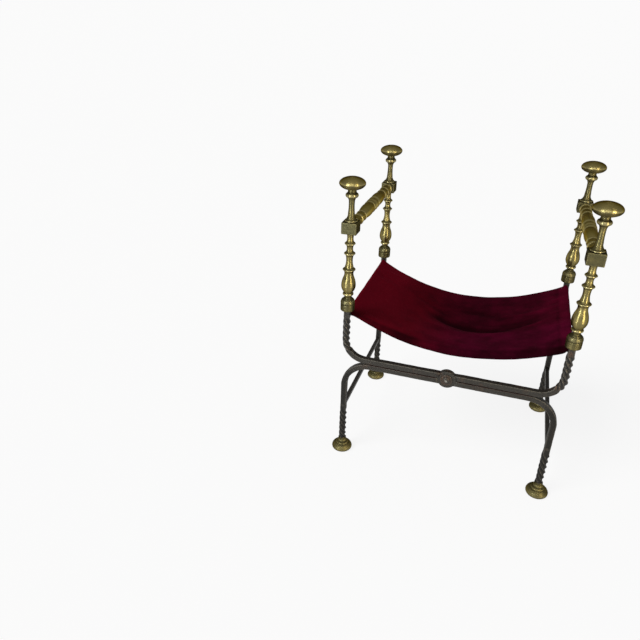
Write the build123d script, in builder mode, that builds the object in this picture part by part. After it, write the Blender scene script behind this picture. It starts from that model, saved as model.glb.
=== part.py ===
"""Folding savonarola armchair: two scissor frames of wrought iron, turned brass posts, arm rails
and feet, and a velvet sling seat hung between two seat rods.

Millimetres. X runs from arm to arm, the front is toward -Y, Z is up from the floor, and the origin
lies on the floor under the middle of the chair. The left arm is at -X.
"""

from build123d import *
from math import cos, radians, sqrt
import os

os.makedirs("parts", exist_ok=True)

# ---- plan of the chair
post_x = 272.0  # middle of the chair to the post axes, left and right
frame_y = 201.0  # middle of the chair to the front and rear frames
pivot_z = 301.0  # height of the scissor pivots

# ---- iron bar stock
stock = 14.0  # side of the square bar
stock_edge = 1.2  # rounding of its long edges
upper_bend = 54.0  # radius of the bend under each arm, at the middle of the bar
lower_bend = 71.0  # radius of the bend above each leg
twist_pitch = 70.0  # length of one full turn of the twisted stretches
stub_twist_rise = 4.0  # straight bar left between the upper bend and its twist
leg_twist_z = 141.0  # height where the twist of the legs starts
twist_hand = -1  # 1 is a right-handed twist, -1 a left-handed one
bar_gap = 0.4  # between the two bars where they lie on each other

# ---- scissor pivots
eye_r = 24.0  # round eye in the middle of each bar
eye_edge = 1.5  # chamfer of the eye's outer rim
eye_gap = 0.3  # between the two half-thickness eyes
eye_clearance = 0.4  # between an eye and the other bar's shoulders
rivet_r = 6.0
rivet_head_r = 10.5
rivet_head_h = 4.0
rivet_pin_r = 3.4  # turned end of the rivet that stands out of its head
rivet_pin_h = 1.2
washer_r = 15.5
washer_t = 2.4
running_fit = 0.06  # radial clearance of pins in their bores
face_gap = 0.3  # between the rear washer and the eye that turns against it

# ---- tie rods, the round upper ends of the bars, on which the brass is threaded
tie_rod_r = 4.0
tie_rod_fit = 0.1  # radial
knob_thread_depth = 15.0  # tie rod inside the knob

# ---- brass posts, from the bottom up
socket_z = 451.0  # underside of the sockets
socket_h = 37.0
socket_r = 18.4
socket_foot_r = 17.4
socket_dome_r = 15.8  # at the top of the dome
socket_recess_h = 12.0  # depth of the recess that takes the iron bar
socket_recess_fit = 0.4  # radial, round the corners of the bar
neck_r = 8.8  # neck between socket and baluster
baluster_h = 170.0
waist_r = 8.0  # slim parts of the baluster
vase_r = 18.4
vase_collar_r = 16.0  # collar above the vase
ring_r = 13.3  # small rings
block_side = 38.0
block_h = 29.0
block_edge = 1.6
column_h = 76.5
column_r = 7.2
column_base_r = 16.0
column_flare_r = 13.5
column_collar_r = 15.2
column_neck_r = 10.4
knob_r = 31.5
knob_h = 31.0
knob_shoulder = 8.7  # above and below its middle, where the rim of the knob starts
knob_top = 15.3  # the small turned flat on top, above the middle

# ---- brass arm rails
rail_bulb_r = 16.2
rail_bead_r = 16.2  # beads at the middle of the rail
rail_drum_r = 12.0
rail_ring_r = 14.4  # rings between drum and block
rail_neck_r = 11.0
rail_start_r = 13.5  # where the rail meets the block
middle_bead_l = 14.0  # bead at the middle of the rail
rail_spigot_r = 5.0
rail_spigot_l = 12.0
spigot_fit = 0.1  # radial, and at the end of the bore

# ---- feet
foot_r = 28.5
foot_sole_r = 24.5
foot_step_r = 18.0  # lower ring above the dome
foot_ring_r = 13.0  # upper ring
foot_top_r = 10.0  # collar under the bar
foot_h = 38.0
foot_tenon_r = 5.0
foot_tenon_l = 14.0
foot_tenon_fit = 0.1

# ---- side stretchers
stretcher_z = 153.0
stretcher_side = 11.0
stretcher_tenon_r = 3.5
stretcher_rivet_r = 4.6  # hammered end of the tenon, outside the leg
stretcher_rivet_h = 1.0
tenon_fit = 0.1

# ---- seat
seat_rod_inset = 2.0  # seat rods stand this far inside the post axes
seat_rod_r = 4.5
seat_rod_tenon_r = 3.0
seat_rod_tenon_l = 8.0
seat_rod_clearance = 0.4  # between the rod's shoulder and the corners of the bar
cloth_t = 2.0  # velvet round the rods
cloth_fit = 0.3  # between cloth and rod
under_socket = 8.6  # between the hems and the sockets above them
cloth_end_gap = 1.5  # between the hems and the shoulders of the rods
sling_t = 4.0  # velvet and lining across the seat
seat_sag = 72.0

# ---- levels and lengths that follow
upper_z = pivot_z + (stock + bar_gap) / 2
lower_z = pivot_z - (stock + bar_gap) / 2
stub_top_z = socket_z + socket_recess_h
stub_twist_z = upper_z + upper_bend + stub_twist_rise
corner_r = (stock / 2 - stock_edge) * sqrt(2) + stock_edge
baluster_z = socket_z + socket_h
block_z = baluster_z + baluster_h
column_z = block_z + block_h
knob_z = column_z + column_h
knob_seat_drop = knob_h / 2 * sqrt(1 - (column_neck_r / knob_r) ** 2)
tie_rod_top_z = knob_z + knob_thread_depth
rail_z = block_z + block_h / 2
rail_half = frame_y - block_side / 2
seat_rod_x = post_x - seat_rod_inset
pocket_r = seat_rod_r + cloth_fit
hem_r = pocket_r + cloth_t
seat_rod_z = socket_z - under_socket - hem_r
seat_rod_half = frame_y - corner_r - seat_rod_clearance
cloth_half = seat_rod_half - cloth_end_gap
stretcher_half = frame_y - stock / 2

UPWARD = (Align.CENTER, Align.CENTER, Align.MIN)
DOWNWARD = (Align.CENTER, Align.CENTER, Align.MAX)
FRONT, REAR = -1, 1
LEFT, RIGHT = -1, 1
ENDS = {"front": FRONT, "rear": REAR}
SIDES = {"left": LEFT, "right": RIGHT}


def save(piece, name):
    """Labels a finished piece and writes it as its own file."""
    piece.part.label = name
    export_step(piece.part, f"parts/{name}.step")


def filled(steps, height):
    """The steps with the open one, whose rise is None, made to fill the height."""
    left = height - sum(rise for rise, _, _ in steps if rise is not None)
    return [(left if rise is None else rise, reached, midway) for rise, reached, midway in steps]


def turned(plane, axis, start, height, steps):
    """Solid of revolution. start is (radius, level), and a step is (rise, radius reached, radius
    half way up), with None half way for a straight run. One rise may be None, to fill the height."""
    radius, level = start
    with BuildPart() as piece:
        with BuildSketch(plane):
            with BuildLine():
                Line((0, level), start)
                for rise, reached, midway in filled(steps, height):
                    foot, top = (radius, level), (reached, level + rise)
                    if midway is None:
                        Line(foot, top)
                    else:
                        ThreePointArc(foot, (midway, level + rise / 2), top)
                    radius, level = top
                Line((radius, level), (0, level))
                Line((0, level), (0, start[1]))
            make_face()
        revolve(axis=axis)
    return piece.part


# ---- iron bars: stub under the post, bend, upper half, eye, lower half, bend and leg


def twisted(length, direction):
    """Twisted square stock that leaves its starting face in line with the straight bar."""
    with BuildSketch() as section:
        RectangleRounded(stock, stock, stock_edge)
    turn = 360 * length / twist_pitch * twist_hand
    face = section.sketch.faces()[0]
    return Solid.extrude_linear_with_rotation(face, (0, 0, 0), (0, 0, length * direction), turn)


eye = turned(
    Plane.XY,
    Axis.Y,
    (eye_r, eye_gap / 2),
    stock / 2 - eye_gap / 2,
    [(None, eye_r, None), (eye_edge, eye_r - eye_edge, None)],
)
stub_twist = twisted(stub_top_z - stub_twist_z, 1)
leg_twist = twisted(leg_twist_z - foot_h, -1)


def cross_bar(side, facing):
    """Bar that carries the arm on one side and stands on the foot of the other side. Its middle
    lies at y = 0, and its eye takes the half of the thickness that faces FRONT or REAR."""
    arm_x, leg_x = side * post_x, -side * post_x
    with BuildPart() as bar:
        for x, start_z, level, bend in (
            (arm_x, stub_twist_z, upper_z, upper_bend),
            (leg_x, leg_twist_z, lower_z, lower_bend),
        ):
            with BuildLine() as path:
                FilletPolyline((x, 0, start_z), (x, 0, level), (0, 0, level), radius=bend)
            with BuildSketch(Plane((x, 0, start_z), x_dir=(1, 0, 0), z_dir=(0, 0, level - start_z))):
                RectangleRounded(stock, stock, stock_edge)
            sweep(path=path.wire())
        # the shoulders make room for the other bar's eye
        with BuildSketch(Plane.XZ.offset(-facing * eye_gap / 2)):
            with Locations((0, pivot_z)):
                Circle(eye_r + eye_clearance)
        extrude(amount=facing * stock, mode=Mode.SUBTRACT)
        with Locations(Location((0, 0, pivot_z), (0, 0, 180 if facing == FRONT else 0))):
            add(eye)
        with BuildSketch(Plane.XZ):
            with Locations((0, pivot_z)):
                Circle(rivet_r + running_fit)
        extrude(amount=stock, both=True, mode=Mode.SUBTRACT)
        # twisted stub, with the tie rod that stands out of it
        with Locations((arm_x, 0, stub_twist_z)):
            add(stub_twist)
            Cylinder(tie_rod_r, tie_rod_top_z - stub_twist_z, align=UPWARD)
        # twisted leg, with the tenon that enters the foot
        with Locations((leg_x, 0, leg_twist_z)):
            add(leg_twist)
        with Locations((leg_x, 0, foot_h - foot_tenon_l)):
            Cylinder(foot_tenon_r, leg_twist_z - foot_h + foot_tenon_l, align=UPWARD)
        # stretcher bore, right through the leg
        with BuildSketch(Plane.XZ):
            with Locations((leg_x, stretcher_z)):
                Circle(stretcher_tenon_r + tenon_fit)
        extrude(amount=stock, both=True, mode=Mode.SUBTRACT)
    return bar.part


for end, end_y in ENDS.items():
    for side, side_x in SIDES.items():
        with BuildPart() as bar:
            with Locations((0, end_y * frame_y, 0)):
                add(cross_bar(side_x, end_y if side == "left" else -end_y))
            # blind bore for the seat rod, from the inside of the frame
            with BuildSketch(Plane.XZ.offset(-end_y * seat_rod_half)):
                with Locations((side_x * seat_rod_x, seat_rod_z)):
                    Circle(seat_rod_tenon_r + tenon_fit)
            extrude(amount=-end_y * (seat_rod_tenon_l + tenon_fit), mode=Mode.SUBTRACT)
        save(bar, f"cross_bar_{side}_{end}")

# ---- pivots: a rivet through washer, both eyes and washer, headed at both ends

outer_seat = stock / 2
inner_seat = stock / 2 + face_gap
rivet_profile = [
    (rivet_head_h, rivet_head_r, rivet_head_r * cos(radians(30))),
    (0, rivet_r, None),
    (None, rivet_r, None),
    (0, rivet_head_r, None),
    (rivet_head_h, rivet_pin_r, rivet_head_r * cos(radians(30))),
    (rivet_pin_h, rivet_pin_r, None),
]
rivet_length = outer_seat + inner_seat + 2 * (washer_t + rivet_head_h) + rivet_pin_h
rivet_start = -(inner_seat + washer_t + rivet_head_h)
rivet = turned(Plane.XY, Axis.Y, (rivet_pin_r, rivet_start), rivet_length, rivet_profile)

for end, end_y in ENDS.items():
    place = Location((0, end_y * frame_y, pivot_z), (0, 0, 180 if end == "front" else 0))
    with BuildPart() as pivot_rivet:
        with Locations(place):
            add(rivet)
    save(pivot_rivet, f"pivot_rivet_{end}")
    with BuildPart() as washers:
        for start in (outer_seat, -inner_seat - washer_t):
            with BuildSketch(Plane.XZ.offset(-end_y * (frame_y + start))):
                with Locations((0, pivot_z)):
                    Circle(washer_r)
                    Circle(rivet_r + running_fit, mode=Mode.SUBTRACT)
            extrude(amount=-end_y * washer_t)
    save(washers, f"pivot_washers_{end}")

# ---- brass post pieces, each made on the Z axis and threaded on the tie rods

socket_profile = [
    (1.6, socket_r - 0.2, None),  # chamfered foot
    (15.0, socket_r, None),  # sleeve
    (1.2, socket_r - 1.2, None),  # groove
    (1.2, socket_r - 0.4, None),
    (None, socket_dome_r, socket_r - 0.3),  # dome
    (0.8, socket_dome_r - 2.0, None),
    (3.6, neck_r + 1.6, socket_dome_r - 3.2),  # bead
    (2.6, neck_r, None),  # neck
]
baluster_profile = [
    (4.0, ring_r - 2.2, neck_r + 0.4),  # small ring
    (8.0, ring_r - 1.0, ring_r + 0.4),
    (1.0, ring_r - 1.8, None),
    (19.5, vase_r, vase_r - 1.8),  # vase: bowl, shoulder and neck
    (None, 13.5, 17.1),
    (11.5, 11.4, 12.0),
    (8.0, vase_collar_r - 0.6, 12.6),  # collar
    (2.6, vase_collar_r - 1.0, vase_collar_r + 0.2),
    (6.0, waist_r + 2.7, vase_collar_r - 3.8),
    (27.4, waist_r + 1.2, waist_r + 0.2),  # flared waist
    (5.5, ring_r - 0.4, waist_r + 2.4),  # middle ring
    (3.4, ring_r - 0.4, ring_r + 0.8),
    (5.0, waist_r + 0.6, waist_r + 2.4),
    (12.0, waist_r + 0.4, waist_r - 0.3),
    (5.0, ring_r - 1.6, waist_r + 1.6),  # upper ring
    (4.0, ring_r - 1.6, ring_r),
    (5.0, waist_r + 0.6, waist_r + 1.8),
    (12.1, waist_r + 0.2, waist_r - 0.2),
    (8.0, waist_r + 3.0, waist_r + 0.8),  # flare under the block
]
column_profile = [
    (3.4, column_base_r - 0.8, column_base_r),  # base ring
    (0.8, column_flare_r, None),
    (14.0, column_r + 1.1, column_r + 2.1),  # flare
    (None, column_r + 0.1, column_r),  # shaft
    (6.0, column_r + 1.5, column_r + 0.3),
    (5.0, column_collar_r - 1.8, column_r + 2.8),  # collar
    (9.0, column_collar_r - 1.8, column_collar_r + 0.2),
    (3.3, column_neck_r + 0.2, column_neck_r + 1.0),
    (5.5, column_neck_r, column_neck_r - 0.1),
]


def knob_radius(rise):
    """Radius of the flattened ball at this height above its middle."""
    return knob_r * sqrt(1 - (2 * rise / knob_h) ** 2)


with BuildPart() as socket:
    add(turned(Plane.XZ, Axis.Z, (socket_foot_r, 0), socket_h, socket_profile))
    Hole(tie_rod_r + tie_rod_fit)
    Cylinder(corner_r + socket_recess_fit, socket_recess_h, align=UPWARD, mode=Mode.SUBTRACT)

with BuildPart() as baluster:
    add(turned(Plane.XZ, Axis.Z, (neck_r, 0), baluster_h, baluster_profile))
    Hole(tie_rod_r + tie_rod_fit)

with BuildPart() as block:
    Box(block_side, block_side, block_h, align=UPWARD)
    chamfer(block.edges(), block_edge)
    Hole(tie_rod_r + tie_rod_fit)
    # bore for the arm rail, in the face toward +Y
    with BuildSketch(Plane.XZ.offset(-block_side / 2)):
        with Locations((0, block_h / 2)):
            Circle(rail_spigot_r + spigot_fit)
    extrude(amount=rail_spigot_l + spigot_fit, mode=Mode.SUBTRACT)

with BuildPart() as column:
    add(turned(Plane.XZ, Axis.Z, (column_base_r - 0.8, 0), column_h, column_profile))
    Hole(tie_rod_r + tie_rod_fit)

knob_levels = [-knob_seat_drop, -knob_shoulder, knob_shoulder, knob_seat_drop, knob_top]
knob_profile = [
    (high - low, knob_radius(high), knob_radius((low + high) / 2))
    for low, high in zip(knob_levels, knob_levels[1:])
]
with BuildPart() as knob:
    add(turned(Plane.XZ, Axis.Z, (column_neck_r, 0), knob_top + knob_seat_drop, knob_profile))
    bore_depth = knob_thread_depth + tie_rod_fit
    Cylinder(tie_rod_r + tie_rod_fit, bore_depth, align=UPWARD, mode=Mode.SUBTRACT)

foot_profile = [
    (6.0, foot_r, foot_r - 1.0),  # rounded rim
    (5.0, foot_r - 0.8, foot_r),
    (8.0, foot_step_r + 2.5, foot_r - 3.4),  # dome
    (1.2, foot_step_r, None),  # step
    (4.6, foot_step_r - 3.0, foot_step_r - 0.6),  # lower ring
    (1.0, foot_ring_r, None),  # step
    (5.2, foot_top_r + 1.0, foot_ring_r - 0.1),  # upper ring
    (None, foot_top_r, foot_top_r - 0.2),  # collar
]
with BuildPart() as foot:
    add(turned(Plane.XZ, Axis.Z, (foot_sole_r, 0), foot_h, foot_profile))
    with Locations((0, 0, foot_h)):
        bore_depth = foot_tenon_l + foot_tenon_fit
        Cylinder(foot_tenon_r + foot_tenon_fit, bore_depth, align=DOWNWARD, mode=Mode.SUBTRACT)

pieces = {
    "socket": (socket, socket_z),
    "baluster": (baluster, baluster_z),
    "block": (block, block_z),
    "column": (column, column_z),
    "knob": (knob, knob_z),
    "foot": (foot, 0),
}
for end, end_y in ENDS.items():
    for side, side_x in SIDES.items():
        for name, (master, level) in pieces.items():
            # the bore of a block faces the other end of the chair
            turn = 180 if end == "rear" else 0
            with BuildPart() as piece:
                with Locations(Location((side_x * post_x, end_y * frame_y, level), (0, 0, turn))):
                    add(master.part)
            save(piece, f"{name}_{end}_{side}")

# ---- arm rails, turned along Y, the same from either end

rail_half_profile = [
    (6.0, rail_neck_r, rail_neck_r + 0.3),  # cove against the block
    (8.0, rail_neck_r + 0.5, rail_ring_r),  # ring
    (27.0, rail_drum_r - 0.6, rail_drum_r - 1.0),  # drum
    (8.0, rail_drum_r - 0.2, rail_ring_r - 0.2),  # ring
    (24.0, rail_drum_r - 0.2, rail_drum_r),  # drum
    (7.0, rail_drum_r - 0.1, rail_ring_r - 0.4),  # ring
    (10.0, rail_drum_r + 0.6, rail_drum_r - 0.4),  # cove
    (None, rail_bead_r - 1.6, rail_bulb_r),  # bulb
    (2.0, rail_bead_r - 2.6, None),
    (9.0, rail_bead_r - 1.8, rail_bead_r),  # bead
    (12.0, rail_bead_r - 1.8, rail_bead_r - 2.4),  # cove
]


def backward(start_radius, steps):
    """The same steps from their far end, to finish a symmetrical outline."""
    radii = [start_radius] + [reached for _, reached, _ in steps]
    return [(rise, radii[i], midway) for i, (rise, _, midway) in reversed(list(enumerate(steps)))]


rail_half_steps = filled(rail_half_profile, rail_half - middle_bead_l / 2)
middle_bead = (middle_bead_l, rail_bead_r - 1.8, rail_bead_r + 0.4)
rail_steps = rail_half_steps + [middle_bead] + backward(rail_start_r, rail_half_steps)
rail = turned(Plane.XY, Axis.Y, (rail_start_r, -rail_half), 2 * rail_half, rail_steps)

for side, side_x in SIDES.items():
    with BuildPart() as arm_rail:
        with Locations((side_x * post_x, 0, rail_z)):
            add(rail)
        with Locations(Location((side_x * post_x, 0, rail_z), (90, 0, 0))):
            Cylinder(rail_spigot_r, 2 * (rail_half + rail_spigot_l))
    save(arm_rail, f"arm_rail_{side}")

# ---- side stretchers between the front and rear legs

for side, side_x in SIDES.items():
    with BuildPart() as stretcher:
        with Locations((side_x * post_x, 0, stretcher_z)):
            Box(stretcher_side, 2 * stretcher_half, stretcher_side)
            chamfer(stretcher.edges().filter_by(Axis.Y), stock_edge)
        with Locations(Location((side_x * post_x, 0, stretcher_z), (90, 0, 0))):
            Cylinder(stretcher_tenon_r, 2 * (stretcher_half + stock))
        for end_y in ENDS.values():
            middle = stretcher_half + stock + stretcher_rivet_h / 2
            with Locations(Location((side_x * post_x, end_y * middle, stretcher_z), (90, 0, 0))):
                Cylinder(stretcher_rivet_r, stretcher_rivet_h)
    save(stretcher, f"side_stretcher_{side}")

# ---- seat rods and the sling that is hemmed round them

for side, side_x in SIDES.items():
    with BuildPart() as seat_rod:
        with Locations(Location((side_x * seat_rod_x, 0, seat_rod_z), (90, 0, 0))):
            Cylinder(seat_rod_r, 2 * seat_rod_half)
            Cylinder(seat_rod_tenon_r, 2 * (seat_rod_half + seat_rod_tenon_l))
    save(seat_rod, f"seat_rod_{side}")

hems = [(side_x * seat_rod_x, seat_rod_z) for side_x in SIDES.values()]
with BuildPart() as seat_sling:
    with BuildSketch(Plane.XZ):
        with BuildLine():
            left_hem, right_hem = hems
            ThreePointArc(left_hem, (0, seat_rod_z - seat_sag), right_hem)
            Line(right_hem, (seat_rod_x, seat_rod_z - sling_t))
            ThreePointArc(
                (seat_rod_x, seat_rod_z - sling_t),
                (0, seat_rod_z - seat_sag - sling_t),
                (-seat_rod_x, seat_rod_z - sling_t),
            )
            Line((-seat_rod_x, seat_rod_z - sling_t), left_hem)
        make_face()
        with Locations(*hems):
            Circle(hem_r)
            Circle(pocket_r, mode=Mode.SUBTRACT)
    extrude(amount=cloth_half, both=True)
save(seat_sling, "seat_sling")
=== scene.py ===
"""Looks of the folding armchair: hand-turned aged brass, wrought iron and a velvet sling.

Metres in Blender, but shapes are worked out in millimetres, in the chair's own frame: X from arm
to arm, the front toward -Y, Z up from the floor.
"""

from math import cos, pi, radians, sin, tau

import bpy
import numpy as np
from mathutils import Matrix, Vector, noise


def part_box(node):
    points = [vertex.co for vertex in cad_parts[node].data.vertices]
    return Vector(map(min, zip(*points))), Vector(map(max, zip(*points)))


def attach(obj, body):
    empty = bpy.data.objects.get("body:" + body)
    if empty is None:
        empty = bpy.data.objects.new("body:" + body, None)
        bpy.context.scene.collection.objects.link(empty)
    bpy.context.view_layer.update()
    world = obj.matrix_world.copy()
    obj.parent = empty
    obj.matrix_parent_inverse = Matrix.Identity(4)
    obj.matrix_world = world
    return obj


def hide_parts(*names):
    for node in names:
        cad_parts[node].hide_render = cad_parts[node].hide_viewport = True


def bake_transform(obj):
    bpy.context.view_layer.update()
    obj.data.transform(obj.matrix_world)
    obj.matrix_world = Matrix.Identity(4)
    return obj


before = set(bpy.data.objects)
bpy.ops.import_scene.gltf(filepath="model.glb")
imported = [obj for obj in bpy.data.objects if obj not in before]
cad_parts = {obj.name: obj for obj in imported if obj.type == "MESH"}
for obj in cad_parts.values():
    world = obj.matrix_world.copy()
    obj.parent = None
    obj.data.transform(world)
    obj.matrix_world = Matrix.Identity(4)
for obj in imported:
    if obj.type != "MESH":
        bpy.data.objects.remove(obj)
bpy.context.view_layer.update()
MM = 0.001


def middle(node):
    """Middle of a CAD node, in millimetres."""
    low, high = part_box(node)
    return (low + high) / (2 * MM)


def low_z(node):
    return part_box(node)[0].z / MM


def high_z(node):
    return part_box(node)[1].z / MM


# ---- places, from the frame
POST_X = middle("knob_front_right").x
FRAME_Y = middle("knob_rear_right").y
PIVOT_Z = middle("pivot_rivet_front").z
SOCKET_Z = low_z("socket_front_left")
BALUSTER_Z = low_z("baluster_front_left")
BLOCK_Z = low_z("block_front_left")
COLUMN_Z = low_z("column_front_left")
KNOB_Z = low_z("knob_front_left")
FOOT_H = high_z("foot_front_left")
RAIL_Z = middle("arm_rail_left").z
ROD_X = middle("seat_rod_right").x
ROD_Z = middle("seat_rod_right").z
ROD_R = (high_z("seat_rod_right") - low_z("seat_rod_right")) / 2
ENDS = {"front": -1, "rear": 1}
SIDES = {"left": -1, "right": 1}


def frame_of(side):
    """The body that carries the arm on this side."""
    return f"{side}_frame"


def other(side):
    return "left" if side == "right" else "right"


# ---- node helpers for the materials


class Shading:
    """A material and short ways to add nodes to it."""

    def __init__(self, name):
        self.material = bpy.data.materials.new(name)
        self.material.use_nodes = True
        self.tree = self.material.node_tree
        self.shader = self.tree.nodes["Principled BSDF"]

    def add(self, kind, inputs=(), **settings):
        made = self.tree.nodes.new(kind)
        for key, value in settings.items():
            setattr(made, key, value)
        for key, value in dict(inputs).items():
            self.put(made.inputs[key], value)
        return made

    def put(self, socket, value):
        """Links a socket to another one, or gives it a value."""
        if isinstance(value, bpy.types.NodeSocket):
            self.tree.links.new(value, socket)
        else:
            socket.default_value = value

    def set(self, **values):
        """Sets the shader's inputs; an underscore stands for a space in their names."""
        for key, value in values.items():
            self.put(self.shader.inputs[key.replace("_", " ")], value)

    def place(self, scale=(1, 1, 1)):
        coordinates = self.add("ShaderNodeTexCoord").outputs["Object"]
        mapping = self.add("ShaderNodeMapping", {"Vector": coordinates, "Scale": scale})
        return mapping.outputs[0]

    def noise(self, scale, detail=4.0, rough=0.55, stretch=(1, 1, 1)):
        inputs = {"Vector": self.place(stretch), "Scale": scale, "Detail": detail, "Roughness": rough}
        return self.add("ShaderNodeTexNoise", inputs).outputs["Fac"]

    def attribute(self, name):
        return self.add("ShaderNodeAttribute", attribute_name=name).outputs["Fac"]

    def math(self, operation, a, b=0.0, c=0.0):
        made = self.add("ShaderNodeMath", {0: a, 1: b, 2: c}, operation=operation)
        return made.outputs[0]

    def between(self, value, low, high):
        """0 where the value is at or under low, 1 at or over high, smooth between."""
        inputs = {"Value": value, "From Min": low, "From Max": high}
        made = self.add("ShaderNodeMapRange", inputs, interpolation_type="SMOOTHSTEP")
        return made.outputs[0]

    def scaled(self, value, low, high):
        """A value from 0 to 1 spread from low to high."""
        return self.math("MULTIPLY_ADD", value, high - low, low)

    def mix(self, factor, a, b):
        """A mix of two colours, by the node's own sockets for colours."""
        made = self.add("ShaderNodeMix", data_type="RGBA")
        self.put(made.inputs[0], factor)
        self.put(made.inputs[6], a)
        self.put(made.inputs[7], b)
        return made.outputs[2]

    def bump(self, height, strength, distance):
        inputs = {"Height": height, "Strength": strength, "Distance": distance}
        return self.add("ShaderNodeBump", inputs)


# ---- brass

BRASS_BRIGHT = (0.43, 0.345, 0.125, 1)
BRASS_DULL = (0.085, 0.078, 0.040, 1)
BRASS_RUBBED = (0.60, 0.52, 0.26, 1)
# colour of the grime in grooves and pits, and also of the painted shade underneath
BRASS_GRIME_AND_SHADE = (0.045, 0.037, 0.018, 1)
BRASS_EDGE = (0.14, 0.11, 0.055, 1)  # tint of what it mirrors at a grazing angle


def brass_material(name, polish, roughness, underside_shade, axis=None, drawn_out=0.7, wear=0.6, uneven=0.22):
    """Aged brass, from dull at polish 0 to bright at 1: grimy in its grooves, with painted shade
    underneath, rubbed on its crests, and dented, pitted and cloudy as far as it is uneven. Turned about
    an axis, it has lathe marks, which draw a gleam out along it."""
    s = Shading(name)
    relief = s.attribute("relief")
    clouds = s.noise(34, 1 + 18 * uneven)
    specks = s.noise(380, 3)
    shine = s.math("MULTIPLY_ADD", clouds, 0.8, polish - 0.4)
    base = s.mix(s.between(shine, -0.1, 1.1), BRASS_DULL, BRASS_BRIGHT)
    rubbed = s.between(s.math("MULTIPLY_ADD", specks, 1.8 * uneven, relief), 0.5, 1.4)
    base = s.mix(s.math("MULTIPLY", rubbed, wear), base, BRASS_RUBBED)
    sunk = s.math("MULTIPLY_ADD", relief, -1, s.math("MULTIPLY", clouds, 0.35))
    grime_and_shade = s.math("MULTIPLY", s.between(sunk, 0.35, 1.15), 0.85)
    # painted shade: faces that look down are darkened, most of all on the knobs, on top of the grime in
    # the grooves
    grime_and_shade = s.math("MAXIMUM", grime_and_shade, s.math("MULTIPLY", s.attribute("under"), underside_shade))
    base = s.mix(grime_and_shade, base, BRASS_GRIME_AND_SHADE)
    pits = s.between(s.noise(800, 2), 0.66, 0.76)
    base = s.mix(s.math("MULTIPLY", pits, 2.3 * uneven), base, BRASS_GRIME_AND_SHADE)
    worn = s.math("MULTIPLY_ADD", clouds, 0.16, s.math("MULTIPLY", grime_and_shade, 0.25))
    s.set(Base_Color=base, Metallic=1.0, Specular_Tint=BRASS_EDGE)
    s.set(Roughness=s.math("ADD", worn, roughness))
    dents = s.bump(s.noise(110, 3), uneven, 0.0012)
    if axis:
        tangent = s.add("ShaderNodeTangent", direction_type="RADIAL", axis=axis)
        s.set(Anisotropic=drawn_out, Anisotropic_Rotation=0.25, Tangent=tangent.outputs[0])
        levels = s.math("MULTIPLY", s.attribute("along"), 1.6)
        marks = s.add("ShaderNodeTexNoise", {"W": levels, "Scale": 1, "Detail": 3}, noise_dimensions="1D")
        s.put(dents.inputs["Normal"], s.bump(marks.outputs["Fac"], 0.45 * uneven, 0.0006).outputs[0])
    s.set(Normal=dents.outputs[0])
    return s.material


# polish, roughness, painted shade underneath
knob_brass = brass_material("knob_brass", 0.76, 0.29, 0.82, "Z")
post_brass = brass_material("post_brass", 0.48, 0.24, 0.22, "Z")
column_brass = brass_material("column_brass", 0.25, 0.30, 0.22, "Z")
sleeve_brass = brass_material("sleeve_brass", 0.16, 0.40, 0.20, "Z", drawn_out=0.5)
foot_brass = brass_material("foot_brass", 0.26, 0.46, 0.5, "Z", drawn_out=0.1, wear=0.8, uneven=0.02)
# painted light: the rails' brass is made brighter than the rest, to stand in for a brighter surrounding
# mirrored on their tops
rail_brass = brass_material("rail_brass", 0.95, 0.28, 0.0, "Y", drawn_out=0.1, wear=0.8)
block_brass = brass_material("block_brass", 0.0, 0.46, 0.0)

# ---- iron

IRON = (0.042, 0.037, 0.030, 1)
IRON_RUST = (0.085, 0.050, 0.032, 1)
IRON_WORN = (0.115, 0.103, 0.084, 1)
# colour of the soot in grooves and specks, and also of the painted shade low down
IRON_SOOT_AND_SHADE = (0.010, 0.009, 0.008, 1)
IRON_SEAM = (0.022, 0.008, 0.005, 1)
STEEL_BRIGHT = (0.26, 0.24, 0.21, 1)


def iron_material(name, rust):
    """Old forged iron, brown where it is rusty, sooty in its grooves, darker low down as painted shade,
    and paler on its edges. A relief well over 1 stands for rubbed steel."""
    s = Shading(name)
    relief = s.attribute("relief")
    patches = s.noise(26, 6, 0.6)
    grain = s.noise(330, 5, 0.65)
    base = s.mix(s.between(patches, 0.62 - rust, 0.80 - rust), IRON, IRON_RUST)
    low = s.attribute("low")
    # painted shade: darker towards the bottom
    base = s.mix(s.math("MULTIPLY", low, 0.85), base, IRON_SOOT_AND_SHADE)
    worn = s.between(s.math("MULTIPLY_ADD", grain, 0.8, relief), 0.95, 1.5)
    base = s.mix(s.math("MULTIPLY", worn, 0.65), base, IRON_WORN)
    sunk = s.between(s.math("MULTIPLY_ADD", relief, -1, s.math("MULTIPLY", grain, 0.4)), 0.4, 1.1)
    base = s.mix(s.math("MULTIPLY", sunk, 0.85), base, IRON_SOOT_AND_SHADE)
    base = s.mix(s.between(grain, 0.50, 0.34), base, IRON_SOOT_AND_SHADE)
    base = s.mix(s.attribute("seam"), base, IRON_SEAM)
    base = s.mix(s.between(relief, 1.6, 2.0), base, STEEL_BRIGHT)
    s.set(Base_Color=base, Metallic=0.5)
    s.set(Roughness=s.math("MULTIPLY_ADD", low, 0.14, s.scaled(grain, 0.38, 0.66)))
    forged = s.bump(s.noise(70, 4), 0.5, 0.002)
    scale = s.bump(grain, 0.35, 0.0007)
    s.put(scale.inputs["Normal"], forged.outputs[0])
    s.set(Normal=scale.outputs[0])
    return s.material


bar_iron = iron_material("bar_iron", 0.06)
pivot_iron = iron_material("pivot_iron", 0.26)

# ---- velvet and lining

VELVET_DEEP = (0.011, 0.0006, 0.0022, 1)
VELVET_CRIMSON = (0.130, 0.0020, 0.0085, 1)
VELVET_PURPLE = (0.130, 0.0030, 0.0360, 1)


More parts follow.
